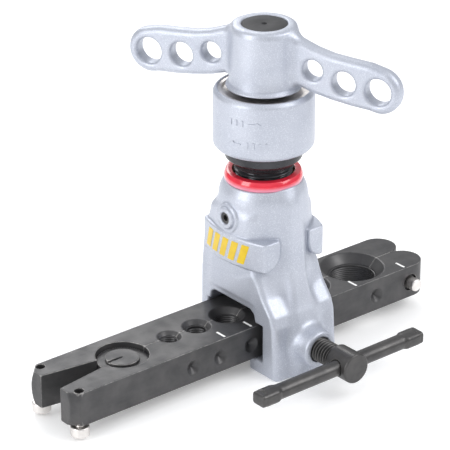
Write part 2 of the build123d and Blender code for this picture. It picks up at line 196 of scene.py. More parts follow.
def helix_radius(angle, along, radius, depth, pitch):
    """Radius of a thread with rounded crests and roots."""
    phase = along / pitch - angle / (2 * math.pi)
    return radius - depth * (0.5 - 0.5 * np.cos(2 * math.pi * phase))


# ---------------------------------------------------------------- meshing

def finish_mesh(name, mesh, material, body, nodes, normals=None):
    """Turns a mesh into a piece that rides on a body and stands for CAD nodes."""
    piece = bpy.data.objects.new(name, mesh)
    bpy.context.scene.collection.objects.link(piece)
    mesh.materials.append(material)
    if normals is not None:
        mesh.normals_split_custom_set_from_vertices(normals)
    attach(piece, body)
    if nodes:
        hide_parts(*nodes)
    return piece


def net(shape, low, high, cell):
    """Surface net of a field: vertices, quads, normals and how sharp each place is."""
    count = [int(math.ceil((h - l) / cell)) + 3 for l, h in zip(low, high)]
    start = [(l + h) / 2 - cell * (n - 1) / 2 for l, h, n in zip(low, high, count)]
    axes = [s + cell * np.arange(n) for s, n in zip(start, count)]
    field = shape(axes[0][:, None, None], axes[1][None, :, None], axes[2][None, None, :])
    field = np.broadcast_to(field, count)
    inside = field < 0
    cells = [n - 1 for n in count]
    full = np.ones(cells, bool)
    empty = np.ones(cells, bool)
    for i in (0, 1):
        for j in (0, 1):
            for k in (0, 1):
                corner = inside[i:i + cells[0], j:j + cells[1], k:k + cells[2]]
                full &= corner
                empty &= ~corner
    active = np.argwhere(~(full | empty))
    index = np.full(cells, -1, np.int64)
    index[tuple(active.T)] = np.arange(len(active))
    total = np.zeros((len(active), 3))
    crossings = np.zeros(len(active))
    for axis in range(3):
        side_a, side_b = [a for a in range(3) if a != axis]
        for i in (0, 1):
            for j in (0, 1):
                first = active.copy()
                first[:, side_a] += i
                first[:, side_b] += j
                second = first.copy()
                second[:, axis] += 1
                a = field[tuple(first.T)]
                b = field[tuple(second.T)]
                hit = (a < 0) != (b < 0)
                place = first.astype(float)
                place[:, axis] += np.where(hit, a / np.where(hit, a - b, 1), 0)
                total[hit] += place[hit]
                crossings[hit] += 1
    points = total / crossings[:, None] * cell + np.array(start)
    quads = []
    for axis in range(3):
        side_a, side_b = [(1, 2), (2, 0), (0, 1)][axis]
        near = [slice(1, -1)] * 3
        far = [slice(1, -1)] * 3
        near[axis] = slice(0, -1)
        far[axis] = slice(1, None)
        changes = inside[tuple(near)] != inside[tuple(far)]
        at = np.argwhere(changes) + np.array([0 if a == axis else 1 for a in range(3)])
        ring = []
        for i, j in ((-1, -1), (0, -1), (0, 0), (-1, 0)):
            place = at.copy()
            place[:, side_a] += i
            place[:, side_b] += j
            ring.append(index[tuple(place.T)])
        quad = np.stack(ring, 1)
        starts_inside = inside[tuple(at.T)]
        quad[~starts_inside] = quad[~starts_inside][:, ::-1]
        quads.append(quad)
    quads = np.concatenate(quads)
    points, normals = settle(shape, points, cell)
    return points, quads, normals, sharpness(shape, points)


def slope(shape, p, reach):
    """Gradient of a field at points."""
    x, y, z = p.T
    across = [shape(x + reach, y, z) - shape(x - reach, y, z),
              shape(x, y + reach, z) - shape(x, y - reach, z),
              shape(x, y, z + reach) - shape(x, y, z - reach)]
    return np.stack(across, 1) / (2 * reach)


def settle(shape, points, cell):
    """Moves points onto the surface and returns them with their normals."""
    for _ in range(3):
        grad = slope(shape, points, 0.02)
        size = np.maximum((grad ** 2).sum(1), 0.05)
        step = np.clip(shape(*points.T), -cell / 2, cell / 2)
        points = points - grad * (step / size)[:, None]
    grad = slope(shape, points, 0.08)
    return points, grad / np.maximum(np.linalg.norm(grad, axis=1), 1e-6)[:, None]


def sharpness(shape, p):
    """Curvature of the surface: positive on outer edges, negative in corners."""
    reach = 0.7
    x, y, z = p.T
    around = shape(x + reach, y, z) + shape(x - reach, y, z) + shape(x, y + reach, z)
    around = around + shape(x, y - reach, z) + shape(x, y, z + reach) + shape(x, y, z - reach)
    return (around - 6 * shape(x, y, z)) / reach


def field_piece(name, shape, low, high, cell, material, body, nodes, turn=0.0):
    """Piece meshed from a field, turned about Z after meshing."""
    points, quads, normals, edge = net(shape, low, high, cell)
    if turn:
        c, s = math.cos(turn), math.sin(turn)
        spin = np.array([[c, -s, 0], [s, c, 0], [0, 0, 1]])
        points = points @ spin.T
        normals = normals @ spin.T
    mesh = bpy.data.meshes.new(name)
    mesh.from_pydata((points * MM).tolist(), [], quads.tolist())
    mesh.update()
    mark = mesh.attributes.new("edge", "FLOAT", "POINT")
    mark.data.foreach_set("value", edge.astype(np.float32))
    return finish_mesh(name, mesh, material, body, nodes, normals.tolist())


def soften(points, radius, steps=3):
    """Closed outline with its corners rounded."""
    out = []
    n = len(points)
    for i, here in enumerate(points):
        before, after = np.array(points[i - 1]), np.array(points[(i + 1) % n])
        here = np.array(here, float)
        a, b = before - here, after - here
        la, lb = np.linalg.norm(a), np.linalg.norm(b)
        reach = min(radius, 0.45 * la, 0.45 * lb)
        p, q = here + a / la * reach, here + b / lb * reach
        for t in np.linspace(0, 1, steps + 1):
            out.append(tuple((1 - t) ** 2 * p + 2 * t * (1 - t) * here + t * t * q))
    return out


def lathe(name, outline, material, body, nodes, radius=0.25, segments=96, thread=None):
    """Closed (radius, height) outline turned about Z; thread = (low, high, depth, pitch)."""
    outline = soften(outline, radius)
    if thread:
        low, high, depth, pitch = thread
        dense = []
        for p, q in zip(outline, outline[1:] + outline[:1]):
            dense.append(p)
            if abs(p[0] - q[0]) < 0.01 and min(p[1], q[1]) >= low - 0.5 and max(p[1], q[1]) <= high + 0.5:
                steps = int(abs(q[1] - p[1]) / pitch * 10)
                dense += [(p[0], p[1] + (q[1] - p[1]) * i / steps) for i in range(1, steps)]
        outline = dense
    angles = np.linspace(0, 2 * math.pi, segments, endpoint=False)
    rz = np.array(outline)
    r = np.repeat(rz[:, :1], segments, 1)
    z = np.repeat(rz[:, 1:], segments, 1)
    if thread:
        cutting = (z > low + 0.3) & (z < high - 0.3) & (r > rz[:, 0].max() * 0.5)
        outer = r > 0.98 * np.max(rz[(rz[:, 1] > low) & (rz[:, 1] < high), 0])
        threaded = helix_radius(angles[None, :], z, r, depth, pitch)
        r = np.where(cutting & outer, threaded, r)
    points = np.stack([r * np.cos(angles), r * np.sin(angles), z], 2).reshape(-1, 3)
    rows = len(outline)
    i = np.arange(rows)[:, None]
    j = np.arange(segments)[None, :]
    k = (j + 1) % segments
    i2 = (i + 1) % rows
    ring = [i * segments + j, i * segments + k, i2 * segments + k, i2 * segments + j]
    quads = np.stack(ring, 2).reshape(-1, 4)
    mesh = bpy.data.meshes.new(name)
    mesh.from_pydata((points * MM).tolist(), [], quads.tolist())
    tidy_mesh(mesh)
    return finish_mesh(name, mesh, material, body, nodes)


def tidy_mesh(mesh, angle=35):
    """Merges doubled points, points the faces outward and smooths the shallow edges."""
    work = bmesh.new()
    work.from_mesh(mesh)
    bmesh.ops.remove_doubles(work, verts=work.verts, dist=1e-7)
    bmesh.ops.dissolve_degenerate(work, edges=work.edges, dist=1e-7)
    bmesh.ops.recalc_face_normals(work, faces=work.faces)
    work.to_mesh(mesh)
    work.free()
    mesh.shade_smooth()
    mesh.set_sharp_from_angle(angle=math.radians(angle))


def plate(name, outline, lift, place, material, body):
    """Thin raised mark: a flat outline, set on a surface by place(u, v, height)."""
    work = bmesh.new()
    rim = soften(outline, 0.25)
    low = [work.verts.new(place(u, v, -0.15)) for u, v in rim]
    high = [work.verts.new(place(u, v, lift)) for u, v in rim]
    n = len(rim)
    centre_u = sum(u for u, _ in rim) / n
    centre_v = sum(v for _, v in rim) / n
    peak = work.verts.new(place(centre_u, centre_v, lift))
    base = work.verts.new(place(centre_u, centre_v, -0.15))
    for i in range(n):
        j = (i + 1) % n
        work.faces.new((low[i], low[j], high[j], high[i]))
        work.faces.new((high[i], high[j], peak))
        work.faces.new((low[j], low[i], base))
    mesh = bpy.data.meshes.new(name)
    work.to_mesh(mesh)
    work.free()
    tidy_mesh(mesh)
    return finish_mesh(name, mesh, material, body, [])


# ---------------------------------------------------------------- materials

def new_material(name):
    """New node material: the material, its tree, and its shader wired to the output."""
    material = bpy.data.materials.new(name)
    material.use_nodes = True
    tree = material.node_tree
    tree.nodes.clear()
    out = tree.nodes.new("ShaderNodeOutputMaterial")
    shader = tree.nodes.new("ShaderNodeBsdfPrincipled")
    tree.links.new(shader.outputs[0], out.inputs[0])
    return material, tree, shader


def noise(tree, scale, detail=3.0, rough=0.55, stretch=(1, 1, 1)):
    """Noise in object space, scale in features per metre."""
    coords = tree.nodes.new("ShaderNodeTexCoord")
    mapping = tree.nodes.new("ShaderNodeMapping")
    mapping.inputs["Scale"].default_value = stretch
    texture = tree.nodes.new("ShaderNodeTexNoise")
    texture.inputs["Scale"].default_value = scale
    texture.inputs["Detail"].default_value = detail
    texture.inputs["Roughness"].default_value = rough
    tree.links.new(coords.outputs["Object"], mapping.inputs["Vector"])
    tree.links.new(mapping.outputs["Vector"], texture.inputs["Vector"])
    return texture.outputs["Fac"]


def span(tree, value, low, high, to_low, to_high):
    """Linear remap of a value, clamped."""
    node = tree.nodes.new("ShaderNodeMapRange")
    node.inputs["From Min"].default_value = low
    node.inputs["From Max"].default_value = high
    node.inputs["To Min"].default_value = to_low
    node.inputs["To Max"].default_value = to_high
    tree.links.new(value, node.inputs["Value"])
    return node.outputs["Result"]


def blend_colour(tree, factor, a, b):
    """Colour a to b by factor; a and b are colours or sockets."""
    node = tree.nodes.new("ShaderNodeMix")
    node.data_type = "RGBA"
    tree.links.new(factor, node.inputs["Factor"])
    for socket, colour in ((node.inputs[6], a), (node.inputs[7], b)):
        if isinstance(colour, tuple):
            socket.default_value = (*colour, 1)
        else:
            tree.links.new(colour, socket)
    return node.outputs[2]


def arithmetic(tree, operation, a, b):
    """Math node on two values, each a number or a socket."""
    node = tree.nodes.new("ShaderNodeMath")
    node.operation = operation
    for socket, value in zip(node.inputs, (a, b)):
        if isinstance(value, (int, float)):
            socket.default_value = value
        else:
            tree.links.new(value, socket)
    return node.outputs[0]


def bump(tree, shader, height, strength, distance):
    """Bump from a height in 0..1."""
    node = tree.nodes.new("ShaderNodeBump")
    node.inputs["Strength"].default_value = strength
    node.inputs["Distance"].default_value = distance
    tree.links.new(height, node.inputs["Height"])
    tree.links.new(node.outputs["Normal"], shader.inputs["Normal"])


def edge_value(tree):
    """How sharp the mesh is here, as stored on its points."""
    node = tree.nodes.new("ShaderNodeAttribute")
    node.attribute_type = "GEOMETRY"
    node.attribute_name = "edge"
    return node.outputs["Fac"]


def silver_paint():
    """Silver paint with fine flakes over a cast skin, with painted shade darkening the corners."""
    material, tree, shader = new_material("silver_paint")
    cloud = noise(tree, 60, 4)
    flakes = noise(tree, 2600, 1, 0.5)
    patches = span(tree, cloud, 0.3, 0.7, 0, 1)
    tone = blend_colour(tree, patches, (0.440, 0.468, 0.540), (0.515, 0.540, 0.610))
    sparkle = blend_colour(tree, span(tree, flakes, 0.52, 0.72, 0, 0.55), tone, (0.72, 0.75, 0.81))
    # painted shade: concave corners are blended towards a dark blue-grey, standing in for the shade that
    # falls there
    painted_corner_shade = span(tree, edge_value(tree), -0.9, -0.1, 0.55, 0)
    tree.links.new(blend_colour(tree, painted_corner_shade, sparkle, (0.25, 0.275, 0.35)), shader.inputs["Base Color"])
    tree.links.new(span(tree, flakes, 0.3, 0.7, 0.52, 0.40), shader.inputs["Roughness"])
    shader.inputs["Metallic"].default_value = 0.55
    shader.inputs["Coat Weight"].default_value = 0.06
    shader.inputs["Coat Roughness"].default_value = 0.35
    skin = arithmetic(tree, "ADD", noise(tree, 420, 4, 0.6), arithmetic(tree, "MULTIPLY", flakes, 0.25))
    bump(tree, shader, skin, 0.35, 0.00012)
    return material


def blackened(name, dark, light, worn, rough, metal):
    """Blackened steel: mottled oxide, milling lines, the worn colour on its edges, and painted shade
    darkening its corners.
    """
    material, tree, shader = new_material(name)
    cloud = noise(tree, 130, 5)
    lines = noise(tree, 900, 2, 0.5, (0.06, 1, 1))
    tone = blend_colour(tree, span(tree, cloud, 0.3, 0.7, 0, 1), dark, light)
    tone = blend_colour(tree, span(tree, lines, 0.35, 0.75, 0, 0.25), tone, light)
    rub = noise(tree, 500, 4, 0.7)
    limit = arithmetic(tree, "ADD", edge_value(tree), arithmetic(tree, "MULTIPLY", rub, 1.1))
    wear = span(tree, limit, 1.55, 2.15, 0, 0.65)
    # painted shade: concave corners and hollows are blended towards near-black, standing in for the shade
    # that falls there
    shade = span(tree, edge_value(tree), -0.8, -0.1, 0.75, 0)
    tone = blend_colour(tree, shade, tone, (0.012, 0.012, 0.014))
    tree.links.new(blend_colour(tree, wear, tone, worn), shader.inputs["Base Color"])
    tree.links.new(span(tree, cloud, 0.3, 0.7, rough + 0.06, rough - 0.06), shader.inputs["Roughness"])
    shader.inputs["Metallic"].default_value = metal
    bump(tree, shader, arithmetic(tree, "ADD", lines, cloud), 0.25, 0.00006)
    return material


def turned_steel(name, low, high, rough):
    """Bare or plated steel with fine turning lines."""
    material, tree, shader = new_material(name)
    cloud = noise(tree, 200, 4)
    lines = noise(tree, 1800, 2, 0.5)
    tone = blend_colour(tree, span(tree, cloud, 0.3, 0.7, 0, 1), low, high)
    tree.links.new(tone, shader.inputs["Base Color"])
    tree.links.new(span(tree, lines, 0.3, 0.7, rough - 0.05, rough + 0.08), shader.inputs["Roughness"])
    shader.inputs["Metallic"].default_value = 1.0
    bump(tree, shader, lines, 0.3, 0.00004)
    return material


def gloss(name, low, high, rough, coat):
    """Smooth moulded or painted finish with a faint waviness."""
    material, tree, shader = new_material(name)
    cloud = noise(tree, 300, 3)
    tone = blend_colour(tree, span(tree, cloud, 0.3, 0.7, 0, 1), low, high)
    tree.links.new(tone, shader.inputs["Base Color"])
    tree.links.new(span(tree, cloud, 0.3, 0.7, rough - 0.03, rough + 0.05), shader.inputs["Roughness"])
    shader.inputs["Coat Weight"].default_value = coat
    shader.inputs["Coat Roughness"].default_value = 0.08
    bump(tree, shader, cloud, 0.15, 0.00005)
    return material


def red_plastic():
    """Glossy red, painted pale pink towards the silver neck it sits on, as a painted reflection of the
    neck.
    """
    material, tree, shader = new_material("red_gloss")
    cloud = noise(tree, 300, 3)
    patches = span(tree, cloud, 0.3, 0.7, 0, 1)
    tone = blend_colour(tree, patches, (0.66, 0.016, 0.038), (0.76, 0.026, 0.055))
    coords = tree.nodes.new("ShaderNodeTexCoord")
    split = tree.nodes.new("ShaderNodeSeparateXYZ")
    tree.links.new(coords.outputs["Object"], split.inputs[0])
    # painted reflection: the lowest part of the ring is blended to pale pink, standing in for the silver
    # neck reflecting the red
    pale = span(tree, split.outputs["Z"], (ring_low[2] + 0.8) * MM, (ring_low[2] + 2.0) * MM, 0.55, 0)
    tree.links.new(blend_colour(tree, pale, tone, (0.72, 0.40, 0.55)), shader.inputs["Base Color"])
    tree.links.new(span(tree, cloud, 0.3, 0.7, 0.14, 0.22), shader.inputs["Roughness"])
    shader.inputs["Coat Weight"].default_value = 0.6
    shader.inputs["Coat Roughness"].default_value = 0.08
    bump(tree, shader, cloud, 0.15, 0.00005)
    return material


SILVER = silver_paint()
BLACK = blackened("black_oxide", (0.050, 0.050, 0.053), (0.085, 0.083, 0.084), (0.42, 0.41, 0.40),
                  0.40, 0.45)
DARK = blackened("dark_oxide", (0.052, 0.051, 0.053), (0.092, 0.089, 0.087), (0.14, 0.135, 0.13),
                 0.36, 0.6)
COLLAR = blackened("collar_oxide", (0.034, 0.034, 0.038), (0.058, 0.058, 0.064), (0.4, 0.4, 0.4),
                   0.26, 0.6)
SHAFT_BLACK = blackened("shaft_oxide", (0.012, 0.012, 0.014), (0.022, 0.022, 0.025), (0.3, 0.3, 0.3),
                        0.55, 0.0)
BRIGHT = turned_steel("zinc_steel", (0.72, 0.69, 0.67), (0.84, 0.81, 0.79), 0.36)
HARD = turned_steel("ground_steel", (0.50, 0.50, 0.51), (0.64, 0.64, 0.65), 0.2)
BRONZE = turned_steel("turned_bronze", (0.55, 0.36, 0.15), (0.66, 0.46, 0.21), 0.3)
RED = red_plastic()
YELLOW = gloss("yellow_paint", (0.70, 0.47, 0.008), (0.76, 0.53, 0.014), 0.34, 0.1)
WHITE = gloss("white_paint", (0.86, 0.86, 0.84), (0.93, 0.93, 0.92), 0.5, 0.0)
FINISHES = {"silver_casting": SILVER, "black_steel": BLACK, "dark_steel": DARK, "bright_steel": BRIGHT,
            "red_ring": RED, "bronze": BRONZE, "hard_steel": HARD}


# ---------------------------------------------------------------- yoke

def skirt_shape(x, y, h):
    """Lower casting: upright ends, a front that leans back to the neck, chamfered rear corners."""
    front = curve(h, [-21, 2, 6.4, 13, 19.6, 25, 42],
                  [YOKE_FRONT, -26.3, -24.8, -19.5, -16.0, -11.5, -10.0], 2.5)
    rear = curve(h, [-21, 6, 16, 24, 33, 42], [YOKE_REAR, YOKE_REAR - 0.2, 21.1, 20.4, 18.8, 15.0], 5)
    centre = (front + rear) / 2
    corner = np.where(y < centre, 2.2, 2.5)
    upper = plan_box(x, y - centre, NECK_HALF, (rear - front) / 2, corner)
    upper = common(upper, h - 44, 2)
    ledge = curve(y, [-18.0, -12.2, -8.1, -4.6, 0.7, 9.7, 20.0],
                  [22.6, 21.2, 19.3, 17.3, 16.2, 15.0, 14.2], 2)
    lower = plan_box(x, y - centre, YOKE_HALF, (rear - front) / 2, corner)
    lower = common(lower, (np.abs(x) - YOKE_HALF + 0.27 * (y - 13.5)) * 0.965, 0.8)
    lower = common(lower, h - ledge, 1.4)
    return join(upper, lower, 1.2)


def neck_shape(x, y, h):
    """Turned neck, trimmed to the skirt's width below the bands."""
    radius = curve(h, [20, 36, 40, 42, 44.5, 47, 50.5, 52.5, 53.8, 55.2, 56.2],
                   [19.7, 19.5, 19.2, 19.0, 18.7, 18.4, 18.0, 17.6, 17.1, 16.4, 15.9], 1.5)
    neck = np.hypot(x, y) - radius
    trimmed = common(common(neck, np.abs(x) - NECK_HALF, 0.8), 11.0 - h, 1.0)
    neck = np.minimum(common(neck, 24.8 - h, 1.0), trimmed)
    return common(neck, h - (NECK_TOP - TOP), 0.6)


def band_shape(x, y, h):
    """Raised pads with bowed faces, their front ends rounded off beside the rib."""
    wide = np.abs(x)
    face = np.hypot(wide + BAND_BOW - BAND_REACH, y) - BAND_BOW
    band = common(face, -19.8 - y, 1.6)
    band = common(band, y - 18.5, 1.2)
    end = common(7.5 - wide, BAND_LOW - TOP - h, 8.0)
    band = common(band, end, 0.9)
    return common(band, h - (BAND_HIGH - TOP), 0.9)


def rib_shape(x, y, h):
    """Spine down the front to the clamp boss."""
    crest = curve(h, [-12, 1, 13, 25, 38, 50, 56], [-30.7, -28.5, -24.6, -21.5, -19.6, -17.8, -14.5], 5)
    width = curve(h, [-12, 0, 14, 38, 50], [6.4, 5.8, 4.6, 3.5, 2.8], 6)
    rib = plan_box(x, y - crest - 9, width, 9, 2.1)
    return common(rib, h - 55, 2)


def slot_shape(y, z):
    """Passage for the die bar with a relieved ceiling, open below between the toes."""
    floor = -0.3
    step = TOP + 1.0
    ceiling = TOP + 5.9
    toe = 11.0
    below = FOOT - 3
    outline = [(-toe, below), (-toe, floor), (-18.9, floor), (-18.9, step), (-14.4, step),
               (-13.5, TOP + 4.4), (-11.3, ceiling), (11.0, ceiling), (13.2, TOP + 4.6), (14.2, step),
               (15.8, step), (15.8, floor), (toe, floor), (toe, below)]
    return polygon(y, z, outline)


def yoke_shape(x, y, z):
    """The whole casting."""
    h = z - TOP
    body = join(skirt_shape(x, y, h), neck_shape(x, y, h), 4.5)
    body = join(body, rib_shape(x, y, h), 5.0)
    around = np.hypot(x, z - CLAMP_Z)
    flare = curve(y, [-37, -33, -29, -26, -22, -18, -12], [7.6, 7.9, 8.6, 9.8, 12.3, 14.6, 15.5], 2)
    boss = common(around - flare, BOSS_FACE - y, 1.3)
    boss = common(boss, y + 10, 2)
    body = join(body, boss, 2.2)
    body = join(body, band_shape(x, y, h), 0.8)
    ring = np.hypot(y, z - SET_SCREW_Z)
    step = common(ring - 5.7, np.abs(x + 14.5) - 4.6, 0.6)
    face = common(ring - 4.4, np.abs(x - (yoke_low[0] + 5)) - 5, 0.6)
    body = join(body, join(step, face, 0.8), 0.9)
    body = common(body, FOOT - z, 1.2)
    body = cut(body, slot_shape(y, z), 1.3)
    body = cut(body, common(np.hypot(x, y) - 13.4, TOP - 2 - z, 0.3), 0.5)
    body = cut(body, common(around - 5.2, y + 17, 0.3), 0.8)
    return cut(body, common(ring - SET_SCREW - 0.05, x + 12, 0.3), 0.5)


def make_yoke():
    """The casting as one piece."""
    field_piece("yoke_casting", yoke_shape, yoke_low, yoke_high, 0.55, SILVER, "yoke", ["yoke"])


def make_badge():
    """Five plain slanted bars on the -X band."""
    width, height, lean, pitch, count = 3.5, 8.6, 1.3, 5.3, 5
    middle = (BAND_LOW + BAND_HIGH) / 2
    for index in range(count):
        shift = 1.0 + (index - (count - 1) / 2) * pitch
        outline = [(-width / 2 - lean, -height / 2), (width / 2 - lean, -height / 2),
                   (width / 2 + lean, height / 2), (-width / 2 + lean, height / 2)]

        def place(u, v, lift, shift=shift):
            y = shift - u
            x = BAND_BOW - BAND_REACH - math.sqrt(BAND_BOW ** 2 - y * y) - lift
            return Vector((x, y, middle + v)) * MM
        plate(f"badge_bar_{index + 1}", outline, 0.14, place, YELLOW, "yoke")


def make_ring():
    """Red ring on the neck."""
    low, high = ring_low[2], ring_high[2]
    outer = ring_high[0]
    outline = [(RING_INNER, low), (outer - 0.2, low), (outer, low + 0.6), (outer, low + 2.3),
               (outer - 0.8, high), (RING_INNER + 0.1, high), (RING_INNER, high - 0.2)]
    lathe("top_ring_red", outline, RED, "yoke", ["top_ring"], 0.3)


# ---------------------------------------------------------------- die bar

def jaw_shape(side):
    """Field of one jaw: side 1 is the rear one, -1 the front one."""
    fork = [(BAR_LEFT - 2, -6.6), (-83.0, -2.7), (-83.0, 2.7), (BAR_LEFT - 2, 6.6)]
    half_length = (LOBE_X - BAR_LEFT) / 2

    def shape(x, y, z):
        plan = np.maximum(np.abs(x - BAR_LEFT - half_length) - half_length, np.abs(y) - BAR_HALF)
        plan = np.minimum(plan, np.hypot(x - LOBE_X, np.abs(y) - LOBE) - LOBE)
        body = common(plan, np.abs(z - MIDDLE) - MIDDLE, 0.5)
        round_end = (np.hypot(y, z - MIDDLE) - TURNED_END - (x - BAR_LEFT)) / CONE_SLOPE
        body = common(body, round_end, 0.25)
        body = cut(body, polygon(x, y, fork), 0.45)
        for bore_x, bore, sink in BORES:
            away = np.hypot(x - bore_x, y)
            body = cut(body, away - bore / 2 - 0.35, 0.15)
            funnel = (away - sink / 2 + (TOP - z)) / CONE_SLOPE
            body = cut(body, common(funnel, TOP - (sink - bore) / 2 - z, 0.2), 0.3)
        body = common(body, LAP - side * y, 0.35)
        hinge = np.hypot(x - HINGE_X, y)
        body = cut(body, common(hinge - RECESS, TOP - RECESS_DEPTH - z, 0.2), 0.3)
        body = cut(body, common(hinge - CLIP_RECESS, z - CLIP_RECESS_DEPTH, 0.2), 0.3)
        if side > 0:
            body = cut(body, common(hinge - RECESS, MIDDLE - LAP - z, 0.1), 0.2)
            lowest, highest = CLIP_RECESS_DEPTH, MIDDLE - 2 * LAP
        else:
            body = cut(body, common(hinge - RECESS, z - MIDDLE - LAP, 0.1), 0.2)
            lowest, highest = MIDDLE + LAP, TOP - RECESS_DEPTH - LAP
        level = np.abs(z - (lowest + highest) / 2) - (highest - lowest) / 2
        body = np.minimum(body, common(hinge - KNUCKLE, level, 0.2))
        body = cut(body, hinge - PIN - LAP, 0.2)
        screw_x = (rear_screw_low[0] + rear_screw_high[0]) / 2
        screw_y = (rear_screw_low[1] + rear_screw_high[1]) / 2
        body = cut(body, np.hypot(x - screw_x, y - side * screw_y) - 1.9, 0.15)
        if side < 0:
            for bore_x, _, _ in BORES:
                around = np.hypot(x - bore_x, z - CLAMP_Z)
                body = cut(body, (around - DIMPLE + 1.53 * (y + BAR_HALF)) / 1.83, 0.14)
            end_x = (end_screw_low[0] + end_screw_high[0]) / 2
            around = np.hypot(x - end_x, z - CLAMP_Z)
            body = cut(body, common(around - 3.6, y + BAR_HALF - END_POCKET, 0.2), 0.35)
        return body
    return shape


def make_jaws():
    """Rear jaw on the bar's body and front jaw on the hinged one."""
    for side, name, body in ((1, "rear_jaw", "bar"), (-1, "front_jaw", "jaw")):
        low, high = corners(name)
        field_piece(name + "_steel", jaw_shape(side), low, high, 0.38, BLACK, body, [name])


def make_serrations():
    """Grooved halves of each tube bore, one in each jaw."""
    segments = 28
    pitch = 0.9
    for number, (bore_x, bore, sink) in enumerate(BORES, 1):
        height = TOP - (sink - bore) / 2
        for side, body in ((1, "bar"), (-1, "jaw")):
            rows = []
            steps = int(height / pitch)
            for i in range(steps):
                rows += [(bore / 2, (i + 0.1) * pitch), (bore / 2 + 0.3, (i + 0.6) * pitch)]
            wall = bore / 2
            rows = [(wall + 0.3, 0.05)] + rows + [(wall, height - 0.1), (wall + 0.36, height + 0.1)]
            rows += [(wall + 0.45, height), (wall + 0.45, 0.05)]
            margin = math.asin(0.08 / wall)
            angles = np.linspace(margin, math.pi - margin, segments)
            points = [(bore_x + r * math.cos(a), side * r * math.sin(a), z)
                      for r, z in rows for a in angles]
            faces = []
            n = len(rows)
            for i in range(n):
                for j in range(segments - 1):
                    a, b = i * segments + j, ((i + 1) % n) * segments + j
                    faces.append((a, a + 1, b + 1, b))
            faces.append(tuple(i * segments for i in range(n)))
            faces.append(tuple(i * segments + segments - 1 for i in reversed(range(n))))
            mesh = bpy.data.meshes.new(f"grip_{number}_{body}")
            mesh.from_pydata([tuple(c * MM for c in p) for p in points], [], faces)
            tidy_mesh(mesh, 25)
            finish_mesh(f"grip_{number}_{body}", mesh, BLACK, body, [])


def make_hinge_pin():
    """Slotted head in the recess, with a chamfered rim."""
    top = pin_high[2]
    low = TOP - RECESS_DEPTH + LAP

    def shape(x, y, z):
        away = np.hypot(x - HINGE_X, y)
        head = common(away - PIN_HEAD, np.abs(z - (low + top) / 2) - (top - low) / 2, 0.45)
        shank = common(away - PIN, np.abs(z - (low + 0.6) / 2) - (low - 0.2) / 2, 0.3)
        along = HINGE_X - x
        across = np.abs(y) - 0.25 - 0.09 * along
        groove = np.maximum(np.maximum(across, -along), low + 0.45 - z)
        return cut(np.minimum(head, shank), groove, 0.2)
    low_corner = [pin_low[0], pin_low[1], 0.4]
    field_piece("hinge_pin_head", shape, low_corner, pin_high, 0.35, BLACK, "bar", ["hinge_pin"])


def make_bar_marks():
    """White index strokes beside the bores."""
    stroke = [(-2.6, -0.5), (2.6, -0.5), (2.6, 0.5), (-2.6, 0.5)]
    for number, x in enumerate((-32.0, -18.0, 39.0, 66.0), 1):

        def place(u, v, lift, x=x):
            return Vector((x - v, MARK_Y + u, TOP - 0.04 + lift)) * MM
        plate(f"index_mark_{number}", stroke, 0.06, place, WHITE, "jaw")


# ---------------------------------------------------------------- feed screw, barrel and handle

def make_feed_screw():
    """Threaded screw with its collar and spring bore."""
    low = screw_low[2]
    outline = [(0.01, low), (FEED - 0.8, low), (FEED, low + 0.8), (FEED, COLLAR_LOW),
               (COLLAR_RADIUS, COLLAR_LOW + 3.4), (COLLAR_RADIUS, COLLAR_TOP), (SPRING_BORE, COLLAR_TOP),
               (SPRING_BORE, SPRING_FLOOR), (0.01, SPRING_FLOOR)]
    depth, pitch = 1.1, 2.0
    lathe("feed_screw_thread", outline, COLLAR, "screw", ["feed_screw"], 0.35, 96,
          (low, COLLAR_LOW, depth, pitch))


def make_barrel():
    """Ratchet barrel with a recessed top."""
    low, high = barrel_low[2], barrel_high[2]
    inner = COLLAR_RADIUS + 0.2
    rim = BARREL_BORE + 0.3
    outline = [(inner, low), (BARREL - 0.9, low), (BARREL, low + 1.3), (BARREL, high - 1.5),
               (BARREL - 1.3, high), (rim, high), (rim, COVER), (BARREL_BORE, COVER),
               (BARREL_BORE, COLLAR_TOP), (inner, COLLAR_TOP)]
    lathe("barrel_casting", outline, SILVER, "screw", ["ratchet_barrel"], 0.7, 128)


def make_barrel_marks():
    """Raised plain direction marks: an upper row for return and a lower row for feed."""
    arrow_right = [(-2.6, -0.35), (0.8, -0.35), (0.8, -1.1), (2.8, 0.0), (0.8, 1.1), (0.8, 0.35),
                   (-2.6, 0.35)]
    arrow_left = [(-u, v) for u, v in reversed(arrow_right)]
    bar = [(-0.45, -1.3), (0.45, -1.3), (0.45, 1.3), (-0.45, 1.3)]
    rows = [(TOP + 87.0, 190.0, [(0, bar), (2.6, bar), (5.2, bar), (10.4, arrow_right)]),
            (TOP + 78.0, 196.0, [(0, arrow_left), (5.2, bar), (7.8, bar), (10.4, bar), (13.0, bar)])]
    number = 0
    for height, start, marks in rows:
        for offset, outline in marks:
            number += 1

            def place(u, v, lift, offset=offset, start=start, height=height):
                angle = math.radians(start) + (u + offset) / BARREL
                radius = BARREL + lift
                return Vector((radius * math.cos(angle), radius * math.sin(angle), height + v)) * MM
            plate(f"barrel_mark_{number}", outline, 0.3, place, SILVER, "screw")


def hub_radius(h):
    """Outer radius of the handle's hub by height over the bar's top."""
    return curve(h, [95.5, 96.6, 98.0, 101.0, 119.6, 121.4, 122.6],
                 [15.4, 15.4, 14.1, 13.7, 13.5, 12.9, 11.6], 1.2)


def arm_outline():
    """Both edges of one arm in its own plane, from inside the hub round the tip."""
    tip_x, tip_z, _ = ARM_HOLES[-1]
    tip = arc((tip_x, tip_z), ARM_TIP, 78, -93, 22)
    top = [(0.0, 120.6), (11.5, 120.4), (17.0, 118.2), (23.0, 116.0), (30.0, 114.4), (38.0, 113.7),
           (46.0, 113.2)]
    low = [(46.0, 94.0), (38.0, 94.5), (30.0, 95.5), (22.0, 97.0), (11.5, 100.2), (0.0, 102.0)]
    return top + tip + low


